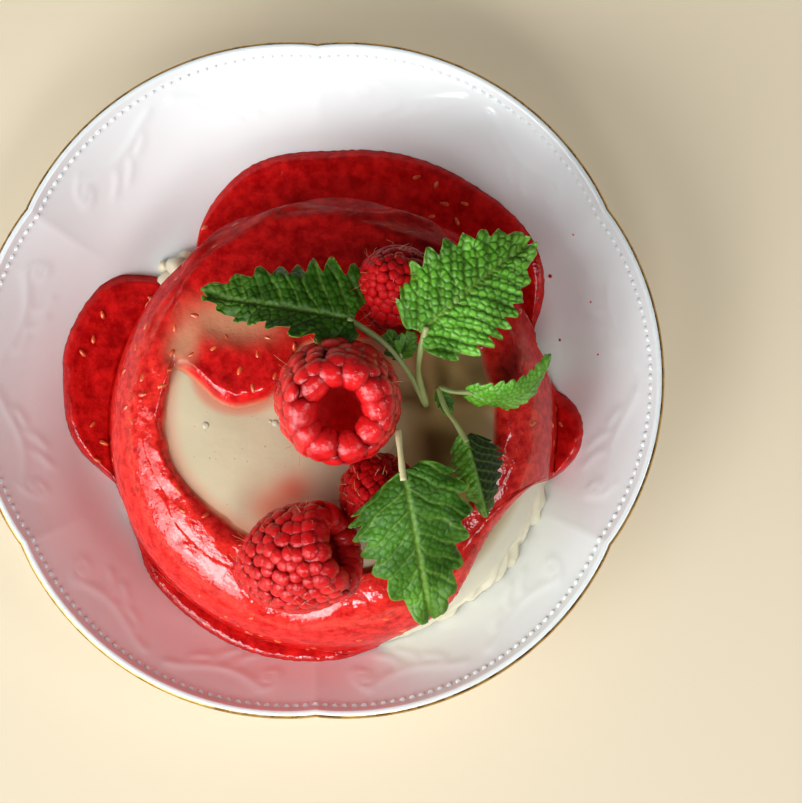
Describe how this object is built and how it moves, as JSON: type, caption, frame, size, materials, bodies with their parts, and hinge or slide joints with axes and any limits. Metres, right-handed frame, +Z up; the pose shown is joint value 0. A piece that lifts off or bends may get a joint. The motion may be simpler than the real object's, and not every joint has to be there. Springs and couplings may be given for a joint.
{
  "type": "raspberry pudding",
  "caption": "Turned-out cream pudding under raspberry sauce with raspberries and balm leaves, served in a round white porcelain dish with a scalloped rim.",
  "frame": {"origin": "centre of the dish's foot ring, on the surface it stands on", "axes": "+Z up, +X to the right of the picture, +Y away from the viewer"},
  "size_m": [0.15, 0.1468, 0.0693],
  "materials": {
    "porcelain": "white glaze with a thin gold line on the edge",
    "cream": "smooth moist cream, slightly glossy",
    "sauce": "wet, very glossy dark red",
    "raspberry": "juicy red drupelets, satin",
    "leaf": "green leaf, satin"
  },
  "bodies": {
    "root": {"dish": "porcelain", "pudding": "cream", "sauce": "sauce", "raspberry_back": "raspberry", "raspberry_centre": "raspberry", "raspberry_front": "raspberry", "raspberry_side": "raspberry", "sprig_upper": "leaf", "sprig_side": "leaf", "leaf_front": "leaf"}
  },
  "joints": []
}
